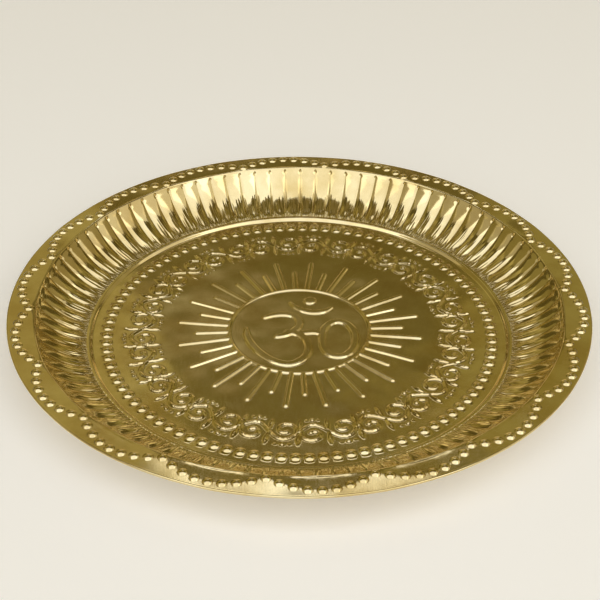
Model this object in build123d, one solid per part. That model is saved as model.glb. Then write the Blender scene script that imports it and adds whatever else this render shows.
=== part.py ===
from build123d import *
import os
from math import atan, atan2, cos, hypot, pi, radians, sin, tan

# A round plate pressed from one brass sheet. The origin is on the axis, on the plane the floor rests on.

# Whole plate
rim_diameter = 250.0
plate_height = 18.0
sheet = 0.6

# Rim: flat, bent over the top of the wall, with its edge turned under
rim_width = 10.4
bend_radius = 1.6
bend_facets = 2
edge_width = 1.1
lip_facets = 4
scallop_count = 18
beads_per_scallop = 8
first_cusp_angle = 4.1
rim_bead_diameter = 3.8
cusp_setback = 1.4
edge_clearance = 0.3

# Wall: bowed, leaning out, with a ring of pressed flutes
wall_run = 22.0
wall_lean = 63.0
flute_count = 94
flute_depth = 1.1
flute_crown_share = 0.45
flute_lower_fade = 0.13
flute_upper_fade = 0.88

# Floor: shares of the floor radius where one ring of the pattern gives way to the next, and where
# the middles of the beads lie
bead_middle_share = 0.9365
bead_ring_share = 0.8975
band_share = 0.6439
disc_share = 0.3219

# Step up from the floor, and the flat ledge between it and the wall
step_height = 1.4
step_run = 1.6
ledge_width = 1.2

# Creeper on the border band: a waving stem, a curl in every bow and leaves where the stem crosses
# the middle. Its sizes are shares of half the band's width.
creeper_repeats = 18
stem_swing = 0.4
stem_width = 0.15
stem_steps = 6
curl_along = 0.58
curl_out = -0.12
curl_start = 0.43
curl_end = 0.12
curl_width = 0.16
curl_first_turn = 19.0
curl_sweep = 320.0
curl_steps = 6
leaf_foot = 0.05
leaf_belly = 0.6
leaf_tip = 0.7
leaf_lean = 0.04
leaf_width = 0.18

# Round beads, on the floor and on the rim
floor_bead_count = 96
floor_bead_diameter = 4.4
first_floor_bead_angle = 2.9
bead_height = 1.1
bead_slope = 42.0
bead_sides = 6

# Sunburst: a thin ring with long and short rays standing on it
ray_pairs = 20
first_ray_angle = 12.1
ray_width = 2.6
ray_slope = 35.0
long_ray_share = 0.866
short_ray_share = 0.592
sun_ring_width = 1.9
sun_ring_margin = 1.0
sun_ring_facets = 3
relief = 0.7

# Sizes that follow
rim_radius = rim_diameter / 2
edge_start = rim_radius - edge_width
bend_centre = rim_radius - rim_width
wall_foot = bend_centre - wall_run
floor_radius = wall_foot - ledge_width - step_run
beads_inner = floor_radius * bead_ring_share
band_inner = floor_radius * band_share
disc_radius = floor_radius * disc_share
ledge_height = sheet + step_height
sink = sheet / 2
lean = radians(wall_lean)
rim_under = plate_height - sheet
bend_height = plate_height - bend_radius

# The wall's bow: an arc from the floor that meets the bend at the wall's lean
wall_top = (bend_centre - bend_radius * sin(lean), bend_height + bend_radius * cos(lean))
chord_run = wall_top[0] - wall_foot
chord_rise = wall_top[1] - ledge_height
bow_radius = (chord_run**2 + chord_rise**2) / (2 * (chord_run * sin(lean) - chord_rise * cos(lean)))
bow_centre = (wall_top[0] - bow_radius * sin(lean), wall_top[1] + bow_radius * cos(lean))
foot_lean = atan2(wall_foot - bow_centre[0], bow_centre[1] - ledge_height)

# The creeper's unit, the line that it waves about, and the length of one wave in that unit
creeper_unit = (beads_inner - band_inner) / 2
band_middle = (beads_inner + band_inner) / 2
creeper_wave = 2 * pi * band_middle / creeper_unit / creeper_repeats


def on_wall(share, depth):
    """Radius and height at a share of the way up the wall, so far behind its inner face."""
    turn = foot_lean + (lean - foot_lean) * share
    reach = bow_radius + depth
    return bow_centre[0] + reach * sin(turn), bow_centre[1] - reach * cos(turn)


def polar(point, turn):
    """A (radius, height) pair turned round the axis to a point in space."""
    radius, height = point
    return (radius * cos(turn), radius * sin(turn), height)


def turned(profile):
    """A closed profile of (radius, height) pairs turned once round the plate's axis."""
    outline = Polyline(*[polar(point, 0) for point in profile], close=True)
    return revolve(make_face(outline), Axis.Z)


def hump(inner, outer, base, height, facets):
    """Profile points over a rounded ridge."""
    middle = (inner + outer) / 2
    half = (outer - inner) / 2
    points = []
    for step in range(facets + 1):
        turn = pi * step / facets
        points.append((middle - half * cos(turn), base + height * sin(turn)))
    return points


def flat_ring(inner, outer):
    """A flat ring of the sheet."""
    return turned([(inner, 0), (outer, 0), (outer, sheet), (inner, sheet)])


def patch(*corners):
    """A flat piece of skin."""
    return Face(Wire.make_polygon(corners))


def emboss(outline, base):
    """A flat outline raised from the sheet with sloping sides."""
    return extrude(Pos(Z=base) * make_face(Polyline(*outline, close=True)), amount=relief, taper=ray_slope)


def bead(radius, angle, height, diameter):
    """One raised bead, its foot let into the sheet."""
    foot_radius = diameter / 2 + sink * tan(radians(bead_slope))
    foot = Pos(radius, 0, height - sink) * RegularPolygon(foot_radius, bead_sides)
    return Rot(Z=angle) * extrude(foot, amount=sink + bead_height, taper=bead_slope)


def make_centre_disc():
    """The plain disc in the middle."""
    return Cylinder(disc_radius, sheet, align=(Align.CENTER, Align.CENTER, Align.MIN))


def ray(start, tip, width, base):
    """A ray with straight sloping sides and a blunt tip."""
    half = width / 2
    shoulder = tip - half
    outline = [
        (start, -half),
        (shoulder, -half),
        (tip, -half / 2),
        (tip, half / 2),
        (shoulder, half),
        (start, half),
    ]
    return emboss(outline, base)


def make_sunburst():
    """The ring and the rays, raised from the sheet and hollow behind."""
    ring_inner = disc_radius + sun_ring_margin
    ring_outer = ring_inner + sun_ring_width
    ring_middle = (ring_inner + ring_outer) / 2
    ring = hump(ring_inner, ring_outer, sheet, relief, sun_ring_facets)
    field = turned([(disc_radius, 0), (disc_radius, sheet)] + ring + [(band_inner, sheet), (band_inner, 0)])
    pitch = 360 / (2 * ray_pairs)
    reach = band_inner - disc_radius
    raised = []
    hollows = []
    for index in range(2 * ray_pairs):
        share = short_ray_share if index % 2 else long_ray_share
        tip = disc_radius + reach * share
        turn = Rot(Z=first_ray_angle + index * pitch)
        raised.append(turn * ray(ring_middle, tip, ray_width, sheet))
        hollows.append(turn * ray(ring_outer + sheet, tip - sheet / 2, ray_width - sheet, 0))
    return field + raised - hollows


def on_band(along, out, height=0):
    """A point on the border band, so far along its middle line and out from it, in the creeper's unit."""
    return polar((band_middle + out * creeper_unit, height), along * creeper_unit / band_middle)


def cross_section(along, out, across, width):
    """Foot, crest, crest and foot of a raised line, in the direction that runs across it."""
    foot = width / 2
    crest = foot - relief * tan(radians(ray_slope)) / creeper_unit
    corners = []
    for half, height in ((foot, sheet), (crest, sheet + relief), (-crest, sheet + relief), (-foot, sheet)):
        corners.append(on_band(along + half * across[0], out + half * across[1], height))
    return corners


def raised_line(sections, closed):
    """A raised line with sloping sides, through its cross-sections."""
    quads = [] if closed else [sections[0], sections[-1]]
    following = sections[1:] + sections[:1] if closed else sections[1:]
    for near, far in zip(sections, following):
        for side in range(4):
            quads.append((near[side - 1], near[side], far[side], far[side - 1]))
    skin = []
    for a, b, c, d in quads:
        skin += [patch(a, b, c), patch(a, c, d)]
    return Solid(Shell(skin))


def stem():
    """The creeper's stem, one wave after another all round."""
    sections = []
    for step in range(creeper_repeats * stem_steps):
        turn = 2 * pi * step / stem_steps
        slope = stem_swing * 2 * pi / creeper_wave * cos(turn)
        across = (-slope / hypot(1, slope), 1 / hypot(1, slope))
        along = step * creeper_wave / stem_steps
        sections.append(cross_section(along, stem_swing * sin(turn), across, stem_width))
    return raised_line(sections, closed=True)


def curl(side):
    """A curl that leaves the stem and winds inwards, below the stem for side 1 and above it for -1."""
    sections = []
    for step in range(curl_steps + 1):
        share = step / curl_steps
        turn = radians(curl_first_turn - curl_sweep * share)
        reach = curl_start + (curl_end - curl_start) * share
        across = (side * cos(turn), side * sin(turn))
        along = side * curl_along + reach * across[0]
        out = side * curl_out + reach * across[1]
        sections.append(cross_section(along, out, across, curl_width))
    return raised_line(sections, closed=False)


def leaf(along, side):
    """A leaf that points outwards for side 1 and inwards for -1."""
    belly_out = leaf_foot + (leaf_tip - leaf_foot) * leaf_belly
    belly = along - side * leaf_lean * leaf_belly
    outline = [
        on_band(along, side * leaf_foot),
        on_band(belly - side * leaf_width / 2, side * belly_out),
        on_band(along - side * leaf_lean, side * leaf_tip),
        on_band(belly + side * leaf_width / 2, side * belly_out),
    ]
    return emboss(outline, sheet)


def make_border_band():
    """The band between the rays and the beads, with its creeper."""
    wave = [curl(1), curl(-1)]
    for along in (0, creeper_wave / 2):
        wave += [leaf(along, 1), leaf(along, -1)]
    raised = [stem()]
    for index in range(creeper_repeats):
        turn = Rot(Z=index * 360 / creeper_repeats)
        raised += [turn * piece for piece in wave]
    return flat_ring(band_inner, beads_inner) + raised


def make_bead_ring():
    """The ring of beads on the floor."""
    beads = []
    radius = floor_radius * bead_middle_share
    for index in range(floor_bead_count):
        angle = first_floor_bead_angle + index * 360 / floor_bead_count
        beads.append(bead(radius, angle, sheet, floor_bead_diameter))
    return flat_ring(beads_inner, floor_radius) + beads


def make_foot_ring():
    """The step and the ledge, of the same thickness all along, as far as the middles of the wall's flats."""
    step_top = floor_radius + step_run
    corner = sheet * tan(atan(step_height / step_run) / 2)
    flat_middle = cos(pi / flute_count * flute_crown_share)
    end = [(radius * flat_middle, height) for radius, height in (on_wall(0, 0), on_wall(0, sheet))]
    front = [(floor_radius, 0), (floor_radius, sheet), (step_top, ledge_height)]
    back = [(step_top + corner, step_height), (floor_radius + corner, 0)]
    return turned(front + end + back)


def cross_line(share, depth, swell):
    """Corners of one flute's cross line at a share of the wall: crease, crown, crown, crease."""
    half = pi / flute_count
    crown = half * flute_crown_share
    crease = on_wall(share, depth + swell / 2)
    crest = on_wall(share, depth - swell / 2)
    return [polar(crease, -half), polar(crest, -crown), polar(crest, crown), polar(crease, half)]


def make_fluted_wall():
    """The bowed wall: one flute in both faces of the sheet, repeated all round and closed at the ends."""
    middle = (flute_lower_fade + flute_upper_fade) / 2
    stations = [
        (0, 0),
        (flute_lower_fade, flute_depth),
        (middle, flute_depth),
        (flute_upper_fade, flute_depth),
        (1, 0),
    ]
    inner = [cross_line(share, 0, swell) for share, swell in stations]
    outer = [cross_line(share, sheet, swell) for share, swell in stations]
    loop = inner + outer[::-1] + inner[:1]
    flute = []
    for low, high in zip(loop[:-1], loop[1:]):
        flute.append(patch(low[1], low[2], high[2], high[1]))
        for crease, crown in ((0, 1), (3, 2)):
            flute.append(patch(low[crease], low[crown], high[crown]))
            flute.append(patch(low[crease], high[crown], high[crease]))
    skin = []
    for index in range(flute_count):
        turn = Rot(Z=index * 360 / flute_count)
        skin += [turn * face for face in flute]
    return Solid(Shell(skin))


def bend(radius):
    """Profile points round the bend from the wall to the rim."""
    points = []
    for step in range(bend_facets + 1):
        turn = lean * (1 - step / bend_facets)
        points.append((bend_centre - radius * sin(turn), bend_height + radius * cos(turn)))
    return points


def make_beaded_rim():
    """The flat rim, bent down to meet the wall, with its beads in scallops."""
    outside = bend(bend_radius)
    inside = bend(bend_radius - sheet)
    rim = turned(outside + [(edge_start, plate_height), (edge_start, rim_under)] + inside[::-1])
    cusp_radius = bend_centre + cusp_setback
    rise = edge_start - edge_clearance - rim_bead_diameter / 2 - cusp_radius
    pitch = 360 / (scallop_count * beads_per_scallop)
    beads = []
    for index in range(scallop_count * beads_per_scallop):
        along = (index % beads_per_scallop) / beads_per_scallop
        radius = cusp_radius + rise * sin(pi * along)
        beads.append(bead(radius, first_cusp_angle + index * pitch, plate_height, rim_bead_diameter))
    return rim + beads


def make_rolled_edge():
    """The outer edge, turned under on itself to a round lip."""
    lip_centre = rim_radius - sheet
    profile = [(edge_start, rim_under - sheet), (edge_start, plate_height)]
    for step in range(lip_facets + 1):
        turn = pi * step / lip_facets
        profile.append((lip_centre + sheet * sin(turn), rim_under + sheet * cos(turn)))
    return turned(profile)


plate = {
    "centre_disc": make_centre_disc(),
    "sunburst": make_sunburst(),
    "border_band": make_border_band(),
    "bead_ring": make_bead_ring(),
    "foot_ring": make_foot_ring(),
    "fluted_wall": make_fluted_wall(),
    "beaded_rim": make_beaded_rim(),
    "rolled_edge": make_rolled_edge(),
}

os.makedirs("parts", exist_ok=True)
for name, zone in plate.items():
    export_step(zone, "parts/" + name + ".step")
    box = zone.bounding_box()
    print(name, len(zone.solids()), round(zone.volume, 1), box.size)
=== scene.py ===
# %% [markdown]
# # A pressed brass puja thali
# The plate is one round sheet of brass. A press bends it into a shallow dish and stamps a sun, a
# creeper, beads and flutes into it in the same stroke. The CAD model cuts that sheet into eight rings
# that meet edge to edge, and this lesson dresses each ring with a finer mesh in the same place.

# %% Load the frame
from math import cos, pi, radians, sin

import bmesh
import bpy
import numpy as np
from mathutils import Matrix, Vector


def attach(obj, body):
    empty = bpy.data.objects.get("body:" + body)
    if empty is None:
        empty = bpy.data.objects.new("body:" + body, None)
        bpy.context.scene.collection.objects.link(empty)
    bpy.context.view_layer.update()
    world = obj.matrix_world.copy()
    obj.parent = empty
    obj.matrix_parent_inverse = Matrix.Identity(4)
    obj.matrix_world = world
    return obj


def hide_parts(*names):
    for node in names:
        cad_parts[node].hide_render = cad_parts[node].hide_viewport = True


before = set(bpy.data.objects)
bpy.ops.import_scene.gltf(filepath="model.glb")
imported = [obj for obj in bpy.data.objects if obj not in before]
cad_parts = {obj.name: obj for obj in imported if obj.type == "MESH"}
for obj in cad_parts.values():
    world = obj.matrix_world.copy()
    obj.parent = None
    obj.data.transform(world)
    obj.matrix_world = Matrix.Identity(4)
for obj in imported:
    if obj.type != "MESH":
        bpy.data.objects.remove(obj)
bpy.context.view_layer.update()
scene = bpy.context.scene
scene.view_settings.view_transform = "Standard"
print("CAD nodes:", sorted(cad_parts))

# %% [markdown]
# ## Sizes
# Every length below is in millimetres, because that is how a press tool is drawn, and becomes metres
# only when a vertex is placed. The ring edges are the same as in the CAD model, so that the pieces
# meet where its solids meet. WELD is how close two vertices lie when they are merged into one.

# %% Sizes shared by the rings
MM = 0.001
SHEET = 0.6
DISC_EDGE = 28.907
SUN_EDGE = 57.822
BAND_EDGE = 80.596
BEADS_MIDDLE = 84.098
BEADS_EDGE = 89.8
WALL_FOOT = 92.6
WALL_TOP = 113.174
BEND_CENTRE = 114.6
RIM_EDGE = 123.9
RIM_RADIUS = 125.0
RIM_HEIGHT = 18.0
LEDGE_HEIGHT = 2.0
BEND_RADIUS = 1.6
WELD = 0.004

# %% [markdown]
# ## How a pressed ring is made
# A stamped pattern repeats round the plate, so one repeat is enough. It starts as a flat grid, a
# function moves each vertex to its place on the sheet, and Spin copies the repeat round the axis. The
# doubles are merged, the normals are turned upwards, and Solidify gives the sheet its thickness below,
# so every bump on the top is a hollow underneath, as in real pressed metal. Sculpting would do it too,
# but a formula keeps each bead the same.


# %% One repeat of a pattern
def press(columns, rows, place):
    """A grid of the sheet's upper face, each vertex put where place(across, out) says, in millimetres."""
    bm = bmesh.new()
    bmesh.ops.create_grid(bm, x_segments=columns, y_segments=rows, size=0.5)
    recess = bm.verts.layers.float.new("recess")
    verts = list(bm.verts)
    across = np.array([v.co.x + 0.5 for v in verts])
    out = np.array([v.co.y + 0.5 for v in verts])
    for v, x, y, z, depth in zip(verts, *place(across, out)):
        v.co = Vector((x, y, z)) * MM
        v[recess] = depth
    return bm


def on_lines(share, lines):
    """Spreads 0 to 1 over a list of grid lines, so that they can stand closer where the shape bends."""
    return np.interp(share * (len(lines) - 1), np.arange(len(lines)), lines)


def turned(radius, angle):
    """x and y of a point at a radius and an angle."""
    return radius * np.cos(angle), radius * np.sin(angle)


# %% Copies all round
def all_round(bm, count):
    """Spins copies of one repeat round the plate's axis and welds them."""
    geom = bm.verts[:] + bm.edges[:] + bm.faces[:]
    turn = 2 * pi * (count - 1) / count
    bmesh.ops.spin(
        bm, geom=geom, cent=(0, 0, 0), axis=(0, 0, 1), angle=turn, steps=count - 1, use_duplicate=True
    )
    bmesh.ops.remove_doubles(bm, verts=bm.verts, dist=WELD * MM)


# %% [markdown]
# ## A sheet that isn't quite flat
# Thin brass never stays flat when it is stamped: it swells and sinks by a few hundredths of a
# millimetre. The eye doesn't see that as shape, but it bends every reflection, and without it the metal
# looks like plastic. A few long waves added to every vertex are enough, and because they depend only on
# the place, the rings still meet.


# %% The swell of the sheet
SWELL_WAVES = [(31, 20, 0.4), (23, 85, 1.9), (17, 140, 4.4), (13, 50, 2.7), (19, 115, 5.5)]
SWELL_STEEPNESS = 0.0011


def swell(x, y):
    """Height in millimetres, never below zero, that the stamping left in the flat sheet."""
    total = 0
    for length, heading, start in SWELL_WAVES:
        along = x * cos(radians(heading)) + y * sin(radians(heading))
        total = total + SWELL_STEEPNESS * length * (1 + np.sin(2 * pi * along / length + start))
    return total


# %% From grid to finished ring
SHARP_EDGE = radians(50)
plate = {}


def finish_ring(bm, name, node, thickness=SHEET):
    """Turns the face upwards, adds the swell and the thickness, and puts the ring in the scene."""
    bmesh.ops.recalc_face_normals(bm, faces=bm.faces)
    if thickness and sum(f.normal.z * f.calc_area() for f in bm.faces) < 0:
        bmesh.ops.reverse_faces(bm, faces=bm.faces)
    for v in bm.verts:
        v.co.z += swell(v.co.x / MM, v.co.y / MM) * MM
    if thickness:
        bmesh.ops.solidify(bm, geom=bm.faces[:], thickness=thickness * MM)
    mesh = bpy.data.meshes.new(name)
    bm.to_mesh(mesh)
    bm.free()
    mesh.shade_smooth()
    mesh.set_sharp_from_angle(angle=SHARP_EDGE)
    piece = bpy.data.objects.new(name, mesh)
    scene.collection.objects.link(piece)
    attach(piece, "root")
    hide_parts(node)
    plate[name] = piece
    mesh.calc_loop_triangles()
    print(name, len(mesh.vertices), "vertices,", len(mesh.loop_triangles), "triangles")


# %% [markdown]
# ## Raised lines
# The sign in the middle and the creeper on the band are lines pressed up from below: flat on top, with
# steep sides. Each line is a row of points with a half-width at each one. The distance from a vertex to
# the nearest line then says how high the vertex stands, so lines that touch run into each other the way
# they do in metal. Extruding a text or a curve would stand on the sheet instead of growing out of it.


# %% Distance and height
def smooth_line(points, steps=6):
    """A rounded line through points of (x, y, half-width)."""
    p = np.array([points[0]] + list(points) + [points[-1]], float)
    line = []
    for a, b, c, d in zip(p[:-3], p[1:-2], p[2:-1], p[3:]):
        for t in np.arange(steps) / steps:
            bend = (2 * a - 5 * b + 4 * c - d) * t**2 + (3 * b - a - 3 * c + d) * t**3
            line.append(0.5 * (2 * b + (c - a) * t + bend))
    return line + [p[-1]]


def beyond(x, y, lines):
    """How far each point lies outside the nearest line's edge, in millimetres, negative inside it."""
    nearest = np.full(len(x), 1e3)
    for line in lines:
        for (ax, ay, aw), (bx, by, bw) in zip(line[:-1], line[1:]):
            dx, dy = bx - ax, by - ay
            share = np.clip(((x - ax) * dx + (y - ay) * dy) / max(dx * dx + dy * dy, 1e-9), 0, 1)
            gap = np.hypot(x - ax - share * dx, y - ay - share * dy)
            nearest = np.minimum(nearest, gap - aw - share * (bw - aw))
    return nearest


def raised(distance, height, side):
    """Height of the metal: full on the flat top, falling to nothing over the width of the side."""
    share = np.clip(-distance / side, 0, 1)
    return height * share * share * (3 - 2 * share)


# Widths in millimetres of the dirt and painted shade round the foot of a raised line, outside and inside it.
DIRT_AND_SHADE_OUTSIDE, DIRT_AND_SHADE_INSIDE = 0.5, 0.12


def foot_shade(distance):
    """Dirt and painted shade along the foot of a raised line, where polish doesn't reach and shade falls."""
    return np.exp(-((distance / np.where(distance > 0, DIRT_AND_SHADE_OUTSIDE, DIRT_AND_SHADE_INSIDE)) ** 2))


# %% [markdown]
# ## The centre disc and its sign
# The middle carries the traditional Om sign, common on such plates. Its lines are drawn here as a few
# points each, and the disc itself is a line of vertices spun once round the axis, which puts small faces
# everywhere without a seam.

# %% The lines of the sign
sign = [
    smooth_line([
        (-15.4, 9.2, 1.2), (-10.8, 11.5, 1.8), (-6.2, 11.9, 1.9), (-2.0, 10.2, 1.9), (0.0, 6.2, 1.9),
        (-0.9, 1.6, 1.9), (-3.6, -1.8, 1.9), (-6.8, -3.7, 1.8), (-9.6, -4.8, 1.5),
    ]),
    smooth_line([
        (-5.1, -1.6, 1.8), (-0.5, -3.2, 1.9), (2.9, -7.2, 1.9), (4.0, -12.4, 1.9), (3.2, -17.8, 1.9),
        (0.1, -22.2, 2.0), (-4.7, -24.4, 2.0), (-10.5, -22.6, 2.0), (-16.1, -17.6, 2.0), (-20.5, -11.0, 1.9),
        (-22.8, -4.4, 1.7), (-23.5, 1.0, 0.9),
    ]),
    smooth_line([
        (-0.6, -2.8, 1.7), (3.6, -1.8, 1.8), (7.2, -1.7, 1.8), (10.2, -3.0, 1.8),
    ]),
    smooth_line([
        (9.9, -6.6, 1.8), (10.6, 0.0, 1.8), (13.4, 5.0, 1.9), (17.2, 6.7, 1.9), (21.0, 4.8, 1.9),
        (23.6, -0.2, 1.9), (24.4, -6.4, 1.9), (23.4, -12.6, 1.9), (20.6, -17.2, 1.9), (16.6, -18.9, 1.9),
        (12.6, -17.2, 1.9), (10.4, -12.4, 1.8), (9.9, -6.6, 1.8),
    ]),
    smooth_line([
        (-4.2, 20.6, 0.9), (-1.6, 17.0, 1.5), (2.6, 14.2, 1.9), (7.0, 13.4, 1.9), (11.2, 14.4, 1.6),
        (14.6, 17.0, 0.9),
    ]),
    [(4.5, 22.1, 2.9), (4.9, 22.3, 2.9)],
]
print("sign:", sum(len(line) for line in sign), "points on", len(sign), "lines")

# %% The disc
DISC_ROWS, DISC_STEPS = 80, 480
SIGN_HEIGHT, SIGN_SIDE = 0.8, 0.7
bm = bmesh.new()
recess = bm.verts.layers.float.new("recess")
row = [bm.verts.new((DISC_EDGE * MM * step / DISC_ROWS, 0, SHEET * MM)) for step in range(DISC_ROWS + 1)]
row_edges = [bm.edges.new(pair) for pair in zip(row[:-1], row[1:])]
bmesh.ops.spin(
    bm, geom=row + row_edges, cent=(0, 0, 0), axis=(0, 0, 1), angle=2 * pi, steps=DISC_STEPS, use_merge=True
)
bmesh.ops.remove_doubles(bm, verts=bm.verts, dist=WELD * MM)
disc_x = np.array([v.co.x for v in bm.verts]) / MM
disc_y = np.array([v.co.y for v in bm.verts]) / MM
distance = beyond(disc_x, disc_y, sign)
for v, height, shade in zip(bm.verts, raised(distance, SIGN_HEIGHT, SIGN_SIDE), foot_shade(distance)):
    v.co.z += height * MM
    v[recess] = shade
finish_ring(bm, "disc_with_sign", "centre_disc")

# %% [markdown]
# ## The sunburst
# Twenty long rays and twenty short ones stand out from a thin ring, and ring and rays are one raised
# level. One repeat holds a long and a short ray. Its grid lines run along the rays, close together on
# their sides, so that the edges come out straight however coarse the grid is between them.

# %% Rays and ring
RELIEF, RELIEF_SIDE = 0.7, 0.8
RAY_HALF = 1.3
RING_MIDDLE = 30.86
RING_HALF = 0.95
LONG_TIP, SHORT_TIP = 53.94, 46.02
RAY_PAIRS = 20
RAY_PITCH = pi / RAY_PAIRS
FIRST_RAY = radians(12.1)
RAY_COLUMNS = 44
ray_lines = np.array([0, 0.25, 0.48, 0.65, 0.82, 0.99, 1.15, 1.3, 1.5])
sun_rows = np.concatenate(
    [
        np.linspace(DISC_EDGE, 33.4, 16),
        np.linspace(34.6, 43.6, 6),
        np.linspace(44.4, 46.4, 8),
        np.linspace(47.4, 51.6, 4),
        np.linspace(52.4, 54.3, 8),
        np.linspace(55.2, SUN_EDGE, 3),
    ]
)


def ray_repeat(across, out):
    """A long and a short ray side by side, and the piece of the ring that they stand on."""
    radius = on_lines(out, sun_rows)
    line = np.rint(across * RAY_COLUMNS).astype(int)
    short = line > RAY_COLUMNS // 2
    step = line - np.where(short, 3 * RAY_COLUMNS // 4, RAY_COLUMNS // 4)
    lines_from_middle, foot = np.abs(step), ray_lines[-1]
    gap_middle = radius * RAY_PITCH / 2
    offset = ray_lines[np.minimum(lines_from_middle, len(ray_lines) - 1)]
    between = np.clip((lines_from_middle - len(ray_lines) + 1) / 3, 0, 1)
    offset = offset + between * (gap_middle - foot)
    angle = FIRST_RAY + RAY_PITCH * short + np.sign(step) * offset / radius
    shoulder = np.where(short, SHORT_TIP, LONG_TIP) - RAY_HALF
    ray = np.hypot(offset, np.maximum(radius - shoulder, 0)) - RAY_HALF
    ring = np.abs(radius - RING_MIDDLE) - RING_HALF
    distance = np.where(radius < RING_MIDDLE, ring, np.minimum(ray, ring))
    x, y = turned(radius, angle)
    return x, y, SHEET + raised(distance, RELIEF, RELIEF_SIDE), foot_shade(distance)


bm = press(RAY_COLUMNS, len(sun_rows) - 1, ray_repeat)
all_round(bm, RAY_PAIRS)
finish_ring(bm, "sun_rays", "sunburst")

# %% [markdown]
# ## The creeper on the border band
# The wide band carries a raised ornament. Here it is a creeper, a common pattern on such plates: a
# waving stem, a curl in every bow, leaves and berries. One repeat is drawn as if it were unrolled flat,
# its second half is the first half turned upside down, and the neighbours' lines are added so that the
# repeats run into each other.

# %% The lines of the creeper
WAVES = 18
BAND_MIDDLE, BAND_HALF = (BAND_EDGE + SUN_EDGE) / 2, (BAND_EDGE - SUN_EDGE) / 2
WAVE = 2 * pi * BAND_MIDDLE / WAVES
STEM_SWING, STEM_HALF = 0.4, 0.85
CURL_START, CURL_TURN = 19, 320
CURL_REACH, CURL_CLOSING = 0.43, 0.31
CURL_S, CURL_T = 0.58 * BAND_HALF, -0.12 * BAND_HALF
stem = [(s, STEM_SWING * BAND_HALF * sin(2 * pi * s / WAVE), STEM_HALF) for s in np.linspace(0, WAVE, 17)]
curl = []
for share in np.linspace(0, 1, 19):
    turn, reach = radians(CURL_START - CURL_TURN * share), (CURL_REACH - CURL_CLOSING * share) * BAND_HALF
    curl.append((CURL_S + reach * cos(turn), CURL_T + reach * sin(turn), 0.88 + 0.3 * share**4))
half = [curl]
for s in (0, WAVE / 2):
    half.append(smooth_line([(s, 0.6, 0.4), (s - 0.27, 5.0, 1.0), (s - 0.46, 8.0, 0.25)]))
berries = ((6.0, 7.6, 1.05), (3.4, 7.5, 0.7), (8.6, 7.3, 0.7))
half += [[(s, t, w), (s + 0.1, t, w)] for s, t, w in berries]
creeper = [stem] + half + [[(WAVE - s, -t, w) for s, t, w in line] for line in half]
creeper = [[(s + shift, t, w) for s, t, w in line] for line in creeper for shift in (-WAVE, 0, WAVE)]
print("creeper:", len(creeper), "lines in one wave and its neighbours")


# %% The band
CREEPER_COLUMNS, CREEPER_ROWS = 54, 48


def creeper_repeat(across, out):
    """One wave of the creeper, bent from the flat drawing on to the band."""
    radius = SUN_EDGE + (BAND_EDGE - SUN_EDGE) * out
    distance = beyond(across * WAVE, radius - BAND_MIDDLE, creeper)
    x, y = turned(radius, 2 * pi / WAVES * across)
    return x, y, SHEET + raised(distance, RELIEF, RELIEF_SIDE), foot_shade(distance)


bm = press(CREEPER_COLUMNS, CREEPER_ROWS, creeper_repeat)
all_round(bm, WAVES)
finish_ring(bm, "creeper_band", "border_band")

# %% [markdown]
# ## Beads
# A bead is a small dome. On a square grid its round foot would turn into a staircase, so the middle of
# each repeat, a square of cells, is squeezed into a disc first: the grid lines then end on the circle.
# The ring of beads round the floor is one bead to a repeat.

# %% A dome on a grid
FLOOR_BEAD, RIM_BEAD = 2.4, 2.2
BEAD_HEIGHT = 1.1
FLOOR_BOW, RIM_BOW = 1, 0.8
bead_lines = np.array([-1, -0.92, -0.78, -0.58, -0.32, 0, 0.32, 0.58, 0.78, 0.92, 1])


def into_disc(a, b):
    """Squeezes the square from -1 to 1 into the unit disc."""
    return a * np.sqrt(1 - b * b / 2), b * np.sqrt(1 - a * a / 2)


def dome(x, y, bow):
    """Height of a bead at a place given in shares of its half-width. A low bow gives steep sides."""
    return BEAD_HEIGHT * np.clip(1 - x * x - y * y, 0, 1) ** bow


def bead_foot(x, y):
    """The dirt and painted shade round the foot of a bead."""
    return foot_shade((np.hypot(x, y) - 1) * RIM_BEAD)


# %% The ring of beads on the floor
FLOOR_BEADS = 96
BEAD_PITCH = 2 * pi / FLOOR_BEADS
FIRST_BEAD = radians(2.9)
bead_grid = np.concatenate([[-1.6, -1.3], bead_lines, [1.3, 1.6]])


def floor_bead(across, out):
    """One bead and the flat metal round it."""
    a, b = on_lines(across, bead_grid), on_lines(out, bead_grid)
    x, y = into_disc(np.clip(a, -1, 1), np.clip(b, -1, 1))
    margin = bead_grid[-1] - 1
    away_a, away_b = np.maximum(np.abs(a) - 1, 0) / margin, np.maximum(np.abs(b) - 1, 0) / margin
    half_arc = BEADS_MIDDLE * BEAD_PITCH / 2 / FLOOR_BEAD
    edge = (np.where(b < 0, BAND_EDGE, BEADS_EDGE) - BEADS_MIDDLE) / FLOOR_BEAD
    x = x + (np.sign(a) * half_arc - x) * away_a
    y = y + (edge - y) * away_b
    radius = BEADS_MIDDLE + y * FLOOR_BEAD
    px, py = turned(radius, FIRST_BEAD - x * FLOOR_BEAD / BEADS_MIDDLE)
    return px, py, SHEET + dome(x, y, FLOOR_BOW), bead_foot(x, y)


bm = press(len(bead_grid) - 1, len(bead_grid) - 1, floor_bead)
all_round(bm, FLOOR_BEADS)
finish_ring(bm, "floor_beads", "bead_ring")

# %% [markdown]
# ## The step at the foot of the wall
# Outside the beads the sheet steps up to a narrow flat ledge, where the wall begins. The step has no
# pattern, so its cross-section is enough: a row of vertices, spun once round.


# %% Spin a cross-section
def spun_ring(section, steps):
    """A row of (radius, height) pairs spun all round."""
    bm = bmesh.new()
    bm.verts.layers.float.new("recess")
    points = [bm.verts.new((radius * MM, 0, height * MM)) for radius, height in section]
    lines = [bm.edges.new(pair) for pair in zip(points[:-1], points[1:])]
    bmesh.ops.spin(
        bm, geom=points + lines, cent=(0, 0, 0), axis=(0, 0, 1), angle=2 * pi, steps=steps, use_merge=True
    )
    bmesh.ops.remove_doubles(bm, verts=bm.verts, dist=WELD * MM)
    return bm


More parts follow.
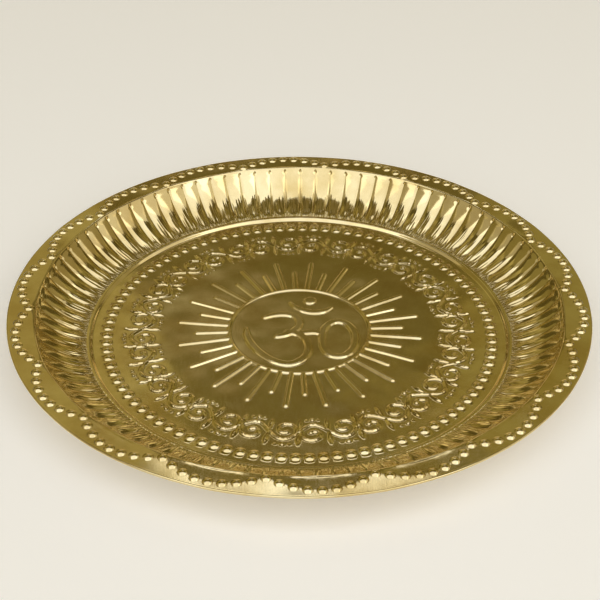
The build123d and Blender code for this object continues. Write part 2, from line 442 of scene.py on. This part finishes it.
# %% The step and the ledge
STEP_RUN, STEP_RISE = 1.6, LEDGE_HEIGHT - SHEET
STEP_TURNS = 384
step_rows = []
for share in np.linspace(0, 1, 9):
    step_rows.append((BEADS_EDGE + STEP_RUN * share, SHEET + STEP_RISE * share * share * (3 - 2 * share)))
step_rows += [(radius, LEDGE_HEIGHT) for radius in np.linspace(BEADS_EDGE + STEP_RUN + 0.3, WALL_FOOT, 4)]
finish_ring(spun_ring(step_rows, STEP_TURNS), "foot_step", "foot_ring")

# %% [markdown]
# ## The fluted wall
# The wall bows outwards on one arc, from almost flat at its foot to steep under the rim. Ninety-four
# fingers are pressed into it. Between two fingers the metal falls into a groove, wide and deep below,
# narrow and faint above, where it ends in a small round pit. The fingers start a little above the foot.
# The grooves, and most of all the foot, are darkened with dirt and painted shade. The arc comes from
# the same sizes as the CAD model, and the fingers and grooves are heights measured square to it.

# %% The bow of the wall
wall_lean = radians(63)
wall_top_height = RIM_HEIGHT - BEND_RADIUS + BEND_RADIUS * cos(wall_lean)
run, rise = WALL_TOP - WALL_FOOT, wall_top_height - LEDGE_HEIGHT
bow_radius = (run**2 + rise**2) / (2 * (run * sin(wall_lean) - rise * cos(wall_lean)))
bow_x = WALL_TOP - bow_radius * sin(wall_lean)
bow_z = wall_top_height + bow_radius * cos(wall_lean)
foot_lean = np.arctan2(WALL_FOOT - bow_x, bow_z - LEDGE_HEIGHT)
wall_length = bow_radius * (wall_lean - foot_lean)
print("bow radius", round(bow_radius, 2), "mm, wall", round(wall_length, 2), "mm long")


def ease(value, start, end):
    """0 before start, 1 after end, and smooth in between."""
    share = np.clip((value - start) / (end - start), 0, 1)
    return share * share * (3 - 2 * share)


# %% One finger and its two half grooves
FLUTES = 94
half_finger = np.array([0, 0.2, 0.44, 0.64, 0.78, 0.88, 0.95, 1])
finger_lines = np.concatenate([-half_finger[:0:-1], half_finger])
wall_rows = np.array(
    [0, 0.012, 0.025, 0.04, 0.055, 0.07, 0.085, 0.1, 0.12, 0.145, 0.175, 0.21, 0.26, 0.32, 0.39, 0.46, 0.53]
    + [0.6, 0.67, 0.73, 0.78, 0.81, 0.835, 0.855, 0.87, 0.885, 0.9, 0.915, 0.93, 0.945, 0.96, 0.98, 1]
)
GROOVE_END = 0.94
GROOVE_TOP_HALF, GROOVE_SPREAD = 0.6, 2.6
RELIEF_START, RELIEF_FULL = 0.05, 0.22
CROWN, CROWN_FALL = 0.78, 0.45
GROOVE_DEPTH = 0.7
PIT_RADIUS, PIT_DEPTH = 1.3, 0.45
# How dark the foot of the wall is made, with dirt and painted shade.
FOOT_DIRT_AND_SHADE = 1.4


def finger(across, out):
    """One finger from foot to top, with half a groove on each side."""
    side, share = on_lines(across, finger_lines), on_lines(out, wall_rows)
    turn = foot_lean + (wall_lean - foot_lean) * share
    base = bow_x + bow_radius * np.sin(turn)
    half_pitch = pi * base / FLUTES
    from_crease = (1 - np.abs(side)) * half_pitch
    past_end = np.maximum(share - GROOVE_END, 0) * wall_length
    below_end = GROOVE_END - np.minimum(share, GROOVE_END)
    groove_half = np.minimum(GROOVE_TOP_HALF + GROOVE_SPREAD * below_end, half_pitch)
    groove = np.clip(1 - np.hypot(from_crease, past_end) / groove_half, 0, 1) ** 1.5
    start = ease(share, RELIEF_START, RELIEF_FULL)
    pit = np.clip(1 - np.hypot(from_crease, (share - GROOVE_END) * wall_length) / PIT_RADIUS, 0, 1) ** 1.5
    crown = (CROWN - CROWN_FALL * share) * (1 - side * side) * (1 - ease(share, 0.9, 1))
    depth = 0.02 + GROOVE_DEPTH * (1 - share) ** 1.7
    inward = start * (crown - depth * groove) - PIT_DEPTH * pit
    reach = bow_radius - inward
    radius = bow_x + reach * np.sin(turn)
    x, y = turned(radius, -side * pi / FLUTES)
    # The last value darkens the grooves and, most of all, the foot: dirt and painted shade.
    return x, y, bow_z - reach * np.cos(turn), groove * start + FOOT_DIRT_AND_SHADE * (1 - start)


bm = press(len(finger_lines) - 1, len(wall_rows) - 1, finger)
all_round(bm, FLUTES)
finish_ring(bm, "fluted_side", "fluted_wall")

# %% [markdown]
# ## The scalloped rim
# The wall bends over into the rim, and 144 beads run round it in eighteen scallops. One repeat is a
# whole scallop. Each bead has its own stretch of the grid, squeezed into a disc as on the floor, and the
# rows between follow the bow of the scallop. The rim isn't quite flat: it droops towards its edge, and
# inside the beads it falls towards the wall. Half a millimetre is enough for the metal on the two sides
# of the beads to mirror different parts of the room.

# %% The line of the beads
SCALLOPS, RIM_BEADS = 18, 8
FIRST_POINT = radians(4.1)
POINT_RADIUS, SCALLOP_BOW = 116.0, 5.7
rim_pitch = 2 * pi / (SCALLOPS * RIM_BEADS)


def bead_line(along):
    """Radius of the line of beads, at a place counted in beads from the point of the scallop."""
    return POINT_RADIUS + SCALLOP_BOW * np.abs(np.sin(pi * along / RIM_BEADS))


BETWEEN_BEADS = 1.25
rim_bead_lines = np.concatenate([[-BETWEEN_BEADS], bead_lines])
inner_rows, outer_rows = np.array([1, 0.96, 0.9, 0.82, 0.7, 0.4]), np.array([0.25, 0.6, 1])
columns = len(rim_bead_lines)
rim_rows = len(inner_rows) + len(bead_lines) - 1 + len(outer_rows)
RIM_DROOP = 0.6
INNER_TILT = 0.09
RIM_DIRT = 0.3


def bend_height(radius):
    """Height of the rim, drooping a little towards its edge and falling round the bend to the wall."""
    inside = np.maximum(BEND_CENTRE - radius, 0)
    droop = RIM_DROOP * np.maximum(radius - BEND_CENTRE, 0) / (RIM_EDGE - BEND_CENTRE)
    return RIM_HEIGHT - BEND_RADIUS + np.sqrt(np.maximum(BEND_RADIUS**2 - inside**2, 0)) - droop


# %% One scallop
def scallop(across, out):
    """One scallop: the bend, the tilted metal inside the beads, the eight beads and the metal outside."""
    line = np.rint(across * columns * RIM_BEADS).astype(int)
    index = np.minimum(line // columns, RIM_BEADS - 1)
    place = line - index * columns
    a = np.append(rim_bead_lines, BETWEEN_BEADS)[place]
    step = np.rint(out * rim_rows).astype(int) - len(inner_rows)
    b = bead_lines[np.clip(step, 0, len(bead_lines) - 1)]
    x, y = into_disc(np.clip(a, -1, 1), b)
    own, before, after = (bead_line(index + shift) for shift in (0, -1, 1))
    centre = np.where(a < -1, (own + before) / 2, np.where(a > 1, (own + after) / 2, own))
    half_arc = own * rim_pitch / 2 / RIM_BEAD
    x = np.where(np.abs(a) > 1, np.sign(a) * half_arc, x)
    radius = centre + y * RIM_BEAD
    inner = np.append(inner_rows, 0)[np.clip(step + len(inner_rows), 0, len(inner_rows))]
    outer = np.append(0, outer_rows)[np.clip(step - len(bead_lines) + 1, 0, len(outer_rows))]
    radius = radius + (WALL_TOP - radius) * inner + (RIM_EDGE - radius) * outer
    along = index + x / half_arc / 2
    angle = FIRST_POINT + rim_pitch * along
    inside_line = np.maximum(bead_line(along) - np.maximum(radius, BEND_CENTRE), 0)
    lower = INNER_TILT * inside_line * ease(radius, WALL_TOP, BEND_CENTRE)
    rise = np.where((inner > 0) | (outer > 0) | (np.abs(a) > 1), 0, dome(x, y, RIM_BOW))
    px, py = turned(radius, angle)
    # The last value is the recess: dirt and painted shade round each bead, and an even light dirt on the
    # rest of the rim.
    return px, py, bend_height(radius) - lower + rise, np.where(rise > 0, bead_foot(x, y), RIM_DIRT)


bm = press(columns * RIM_BEADS, rim_rows, scallop)
all_round(bm, SCALLOPS)
finish_ring(bm, "scalloped_rim", "beaded_rim")

# %% [markdown]
# ## The rolled lip
# The raw edge of the sheet is sharp, so it is turned under on itself. What shows is a round lip that
# catches a line of light all the way round. It is a closed cross-section, so it needs no thickness.

# %% The lip
LIP_STEPS, LIP_TURNS = 10, 512
lip_top = RIM_HEIGHT - RIM_DROOP
lip = [(RIM_EDGE, lip_top)]
for step in range(LIP_STEPS + 1):
    turn = pi * step / LIP_STEPS
    lip.append((RIM_RADIUS - SHEET + SHEET * sin(turn), lip_top - SHEET + SHEET * cos(turn)))
lip += [(RIM_EDGE, lip_top - 2 * SHEET), (RIM_EDGE, lip_top)]
finish_ring(spun_ring(lip, LIP_TURNS), "rolled_lip", "rolled_edge", thickness=0)

# %% [markdown]
# ## The brass
# The whole plate is one metal: yellow brass sheet, pressed and then buffed bright. Fresh brass is a
# pale warm yellow, and handling leaves a thin uneven film on it that is browner and a little duller.
# Dirt and old polish stay in the grooves, and a painted shade darkens them and the feet of the relief
# too. So the colour and the roughness are mixed from three things: broad clouds, fine buffing marks,
# and the recess value stored with every vertex, which carries both the dirt and the painted shade.


# %% Colours and nodes
def linear(code):
    """A linear colour from an sRGB hex code."""
    parts = [int(code[i : i + 2], 16) / 255 for i in (1, 3, 5)]
    return [p / 12.92 if p <= 0.04045 else ((p + 0.055) / 1.055) ** 2.4 for p in parts] + [1]


def add(tree, kind, sockets, **settings):
    """Adds a node, gives it its settings, and sets or links its sockets."""
    node = tree.nodes.new("ShaderNode" + kind)
    for key, value in settings.items():
        setattr(node, key, value)
    for key, value in sockets.items():
        if isinstance(value, bpy.types.NodeSocket):
            tree.links.new(value, node.inputs[key])
        else:
            node.inputs[key].default_value = value
    return node


def remap(tree, value, low, high, start=0, end=1):
    """Maps the range from low to high on to the range from start to end."""
    sockets = {"Value": value, "From Min": low, "From Max": high, "To Min": start, "To Max": end}
    return add(tree, "MapRange", sockets).outputs["Result"]


# %% Brass sheet, pressed and buffed
# Metal gives a coloured mirror: bright cream where it meets a lamp and deep gold where it meets the room.
CLOUD_SIZE = 22
# The most that the dark brown of dirt and painted shade is mixed in.
FILM_AT_MOST, DIRT_AND_SHADE_AT_MOST = 0.7, 0.15
brass = bpy.data.materials.new("brass_sheet_pressed_and_buffed")
brass.use_nodes = True
tree = brass.node_tree
shader = tree.nodes["Principled BSDF"]
shader.inputs["Metallic"].default_value = 1
place = add(tree, "TexCoord", {}).outputs["Object"]
recess = add(tree, "Attribute", {}, attribute_name="recess").outputs["Fac"]
cloud_look = {"Vector": place, "Scale": 1 / (CLOUD_SIZE * MM), "Detail": 4, "Roughness": 0.55}
clouds = add(tree, "TexNoise", cloud_look).outputs["Fac"]
film = remap(tree, clouds, 0.35, 0.7, 0, FILM_AT_MOST)
yellow = add(tree, "Mix", {0: film, 6: linear("#F3E5B8"), 7: linear("#CDB26E")}, data_type="RGBA").outputs[2]
# The recess value mixes in dark brown: dirt and painted shade in the grooves and round raised metal.
dirt_and_shade = add(tree, "Math", {0: recess, 1: DIRT_AND_SHADE_AT_MOST}, operation="MULTIPLY").outputs[0]
colour = add(tree, "Mix", {0: dirt_and_shade, 6: yellow, 7: linear("#7A5E2A")}, data_type="RGBA").outputs[2]
tree.links.new(colour, shader.inputs["Base Color"])
print("clouds in the film about", CLOUD_SIZE, "mm across")

# %% Buffing marks
# Real buffing marks are hundredths of a millimetre wide, drawn here ten times as coarse so that they show.
MARK_WIDTH, MARK_HEADING, MARK_STRETCH = 0.35, radians(28), 0.06
along_marks = {"Vector": place, "Rotation": (0, 0, MARK_HEADING), "Scale": (1, MARK_STRETCH, 1)}
marks_place = add(tree, "Mapping", along_marks).outputs[0]
mark_look = {"Vector": marks_place, "Scale": 1 / (MARK_WIDTH * MM), "Detail": 2}
marks = add(tree, "TexNoise", mark_look).outputs["Fac"]
bright = remap(tree, clouds, 0.3, 0.75, 0.07, 0.14)
brushed = add(tree, "Math", {0: bright, 1: 0.05}, operation="ADD").outputs[0]
dull = remap(tree, marks, 0.35, 0.75, bright, brushed)
rough = add(tree, "Math", {0: recess, 1: 0.05, 2: dull}, operation="MULTIPLY_ADD").outputs[0]
tree.links.new(rough, shader.inputs["Roughness"])
bump = add(tree, "Bump", {"Height": marks, "Strength": 0.05, "Distance": 0.05 * MM}).outputs["Normal"]
print("buffing marks", MARK_WIDTH, "mm wide")

# %% Draw marks
# Where the press pulled the sheet over the edge of the die, the foot of the wall keeps fine upright
# creases, a millimetre or so apart. They follow the angle round the plate and fade out up the wall.
CREASE_WIDTH, CREASE_DEPTH, CREASE_RADIUS = 1.3, 1.05, 100
axes = add(tree, "SeparateXYZ", {0: place})
angle = add(tree, "Math", {0: axes.outputs["Y"], 1: axes.outputs["X"]}, operation="ARCTAN2").outputs[0]
level = add(tree, "CombineXYZ", {"X": axes.outputs["X"], "Y": axes.outputs["Y"]}).outputs[0]
reach = add(tree, "VectorMath", {0: level}, operation="LENGTH").outputs["Value"]
arc = add(tree, "Math", {0: angle, 1: CREASE_RADIUS * MM}, operation="MULTIPLY").outputs[0]
slow = add(tree, "Math", {0: reach, 1: 0.07}, operation="MULTIPLY").outputs[0]
unrolled = add(tree, "CombineXYZ", {"X": arc, "Y": slow}).outputs[0]
crease_noise = {"Vector": unrolled, "Scale": 1 / (CREASE_WIDTH * MM), "Detail": 1}
crease = add(tree, "TexNoise", crease_noise).outputs["Fac"]
begin = remap(tree, reach, 92 * MM, 93.5 * MM)
fade = remap(tree, reach, 97 * MM, 107 * MM, 1, 0)
draw = add(tree, "Math", {0: begin, 1: fade}, operation="MULTIPLY").outputs[0]
crease_look = {"Height": crease, "Strength": draw, "Distance": CREASE_DEPTH * MM, "Normal": bump}
bump = add(tree, "Bump", crease_look).outputs["Normal"]
tree.links.new(bump, shader.inputs["Normal"])
for piece in plate.values():
    piece.data.materials.append(brass)
print("brass on", len(plate), "pieces")

# %% [markdown]
# ## The floor
# The plate stands on a plain pale studio floor, large enough to fill the picture. A little glow, which
# only the camera and the metal's mirror see, keeps it pale without more light on the plate.

# %% Floor sheet
FLOOR_HALF, FLOOR_GLOW = 40, 0.22
bm = bmesh.new()
bmesh.ops.create_grid(bm, x_segments=1, y_segments=1, size=FLOOR_HALF)
mesh = bpy.data.meshes.new("studio_floor")
bm.to_mesh(mesh)
bm.free()
floor = bpy.data.objects.new("studio_floor", mesh)
scene.collection.objects.link(floor)

# %% Matt paper
# Paper scatters light evenly, so the eye gets a plain pale ground and a soft shadow.
paper = bpy.data.materials.new("matt_paper_backdrop")
paper.use_nodes = True
paper_shader = paper.node_tree.nodes["Principled BSDF"]
paper_shader.inputs["Base Color"].default_value = linear("#F4F3F1")
paper_shader.inputs["Roughness"].default_value = 0.9
light_path = add(paper.node_tree, "LightPath", {}).outputs
eye_or_mirror = {0: light_path["Is Camera Ray"], 1: light_path["Is Glossy Ray"]}
seen = add(paper.node_tree, "Math", eye_or_mirror, operation="MAXIMUM").outputs[0]
glow = add(paper.node_tree, "Math", {0: seen, 1: FLOOR_GLOW}, operation="MULTIPLY").outputs[0]
paper.node_tree.links.new(glow, paper_shader.inputs["Emission Strength"])
paper_shader.inputs["Emission Color"].default_value = linear("#F4F6FA")
mesh.materials.append(paper)
print("floor", 2 * FLOOR_HALF, "m across")

# %% [markdown]
# ## Light
# Polished metal shows the room more than the lamps, so the room is what is designed. One large soft
# panel stands behind and above the camera: the back wall and the near side of every bead mirror it and
# turn cream. The panels at the sides are dimmer and warmer, and the right one is the brighter, so the
# two side walls differ. What stands far behind the plate is what the floor and the front of the rim
# mirror: a very dim panel that leaves the floor deep gold, small cards that lay soft patches on it, a
# low panel for the foot of the front wall, and one bright strip for the front of the rim.

# %% Room and panels
ROOM_STRENGTH = 0.1
room = bpy.data.worlds.new("studio_room")
room.use_nodes = True
room.node_tree.nodes["Background"].inputs["Color"].default_value = linear("#FFE27C")
room.node_tree.nodes["Background"].inputs["Strength"].default_value = ROOM_STRENGTH
scene.world = room


def panel(name, azimuth, elevation, distance, width, height, radiance, tint="#FFFFFF"):
    """A soft panel that faces the plate. Azimuth 0 is behind the camera and 180 behind the plate."""
    lamp = bpy.data.lights.new(name, "AREA")
    lamp.shape = "RECTANGLE"
    lamp.size, lamp.size_y = width, height
    lamp.energy = radiance * pi * width * height
    lamp.color = linear(tint)[:3]
    stand = bpy.data.objects.new(name, lamp)
    a, e = radians(azimuth), radians(elevation)
    stand.location = Vector((sin(a) * cos(e), -cos(a) * cos(e), sin(e))) * distance
    stand.rotation_euler = stand.location.to_track_quat("Z", "Y").to_euler()
    scene.collection.objects.link(stand)
    print(name, round(lamp.energy, 1), "W")


# %% In front, right and left
panel("front_panel", 0, 51, 1.5, 2.9, 2.4, 1.1)
panel("right_side_panel", 72, 36, 1.5, 1.5, 1.0, 0.7, "#FFF6E0")
panel("right_far_panel", 117, 26, 1.5, 0.9, 0.8, 0.22, "#FFE9A8")
panel("right_low_panel", 75, 6, 1.5, 1.5, 0.35, 0.25, "#FFE6A8")
panel("left_side_panel", -72, 36, 1.5, 1.5, 1.0, 0.34, "#FFF2CC")
panel("left_far_panel", -117, 26, 1.5, 0.9, 0.8, 0.14, "#FFE98C")
panel("left_low_panel", -75, 6, 1.5, 1.5, 0.35, 0.18, "#FFE6A8")

# %% Behind and above
panel("back_panel", 180, 38, 1.6, 1.9, 1.0, 0.05, "#FFE888")
panel("left_back_panel", 211, 38, 1.6, 0.95, 0.8, 0.22, "#FFEC9C")
panel("right_back_panel", 149, 35, 1.6, 0.95, 0.8, 0.13, "#FFEE90")
panel("middle_card", 181, 36.3, 1.6, 0.3, 0.07, 0.09, "#FFF0D0")
panel("left_card", 187, 35.5, 1.6, 0.2, 0.12, 0.1, "#FFF0D0")
panel("right_card", 174.5, 39.6, 1.6, 0.14, 0.05, 0.1, "#FFEE90")
panel("low_back_panel", 180, 11, 1.6, 1.0, 0.45, 0.7, "#FFE6A8")
panel("top_panel", 180, 78, 1.5, 1.2, 0.8, 0.1, "#FFE6A8")
panel("back_strip", 180, 51.5, 1.6, 0.5, 0.24, 1.1)

# %% [markdown]
# ## Camera
# The photograph looks down on the plate at about 36 degrees through a long lens, and is a hair out of
# level. A long lens far away keeps the near and the far rim almost the same width.

# %% The lens and its place
LOOK_DOWN, ROLL = radians(54.98), radians(0.28)
lens = bpy.data.cameras.new("camera")
lens.lens, lens.sensor_width = 87, 36
camera = bpy.data.objects.new("camera", lens)
camera.location = (0.0002, -0.5132, 0.3765)
camera.rotation_euler = (Matrix.Rotation(LOOK_DOWN, 3, "X") @ Matrix.Rotation(ROLL, 3, "Z")).to_euler()
scene.collection.objects.link(camera)
scene.camera = camera
print("camera", round(camera.location.length, 3), "m from the foot of the plate's axis")
